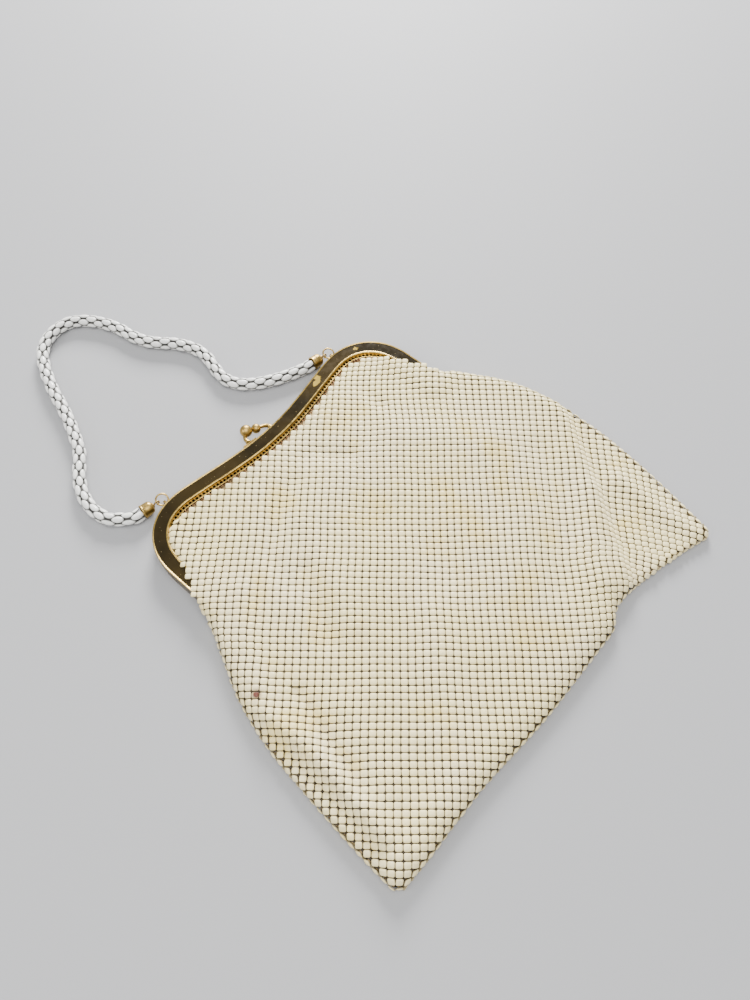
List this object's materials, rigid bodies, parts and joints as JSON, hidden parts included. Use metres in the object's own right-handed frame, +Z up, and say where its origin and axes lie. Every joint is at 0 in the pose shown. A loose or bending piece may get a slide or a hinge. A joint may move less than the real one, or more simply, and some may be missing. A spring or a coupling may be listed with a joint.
{
  "type": "metal mesh evening bag",
  "caption": "Evening bag of cream enamelled metal mesh on a hinged brass kiss-lock frame, with a round woven chain handle.",
  "frame": {"origin": "bottom centre of the box around the bag and its frame, on the table the bag lies on, with the free handle chain and its end fittings left out", "axes": "+Z up, out of the front of the bag; +Y from the bottom edge towards the frame and handle; +X along the frame"},
  "size_m": [0.2104, 0.3131, 0.0097],
  "materials": {
    "dark_gilt_brass": "polished",
    "old_brass": "satin",
    "rusty_wire": "satin",
    "cream_enamel": "satin",
    "white_enamel": "gloss"
  },
  "bodies": {
    "bag": {"back_frame": "dark_gilt_brass", "back_mesh_strip": "old_brass", "back_hanging_wire": "rusty_wire", "back_clasp_ball": "old_brass", "back_clasp_plate": "old_brass", "back_mesh_panel": "cream_enamel", "front_mesh_panel": "cream_enamel", "left_hinge_rivet": "old_brass", "right_hinge_rivet": "old_brass", "left_handle_lug": "old_brass", "right_handle_lug": "old_brass"},
    "front_half": {"front_frame": "dark_gilt_brass", "front_mesh_strip": "old_brass", "front_hanging_wire": "rusty_wire", "front_clasp_ball": "old_brass", "front_clasp_plate": "old_brass", "front_mesh_top": "cream_enamel"},
    "handle": {"left_handle_ring": "old_brass", "right_handle_ring": "old_brass", "left_eye_pin": "old_brass", "right_eye_pin": "old_brass", "left_end_cap": "old_brass", "right_end_cap": "old_brass", "handle_chain": "white_enamel"}
  },
  "joints": [
    {"name": "frame_opening", "type": "hinge", "parent": "bag", "child": "front_half", "pos_m": [0.00282, 0.04328, 0.0043], "axis": [1, 0, 0], "range_deg": [0, 90]},
    {"name": "handle_swing", "type": "hinge", "parent": "bag", "child": "handle", "pos_m": [0.00282, 0.09309, 0.0024], "axis": [1, 0, 0], "range_deg": [0, 62]}
  ]
}
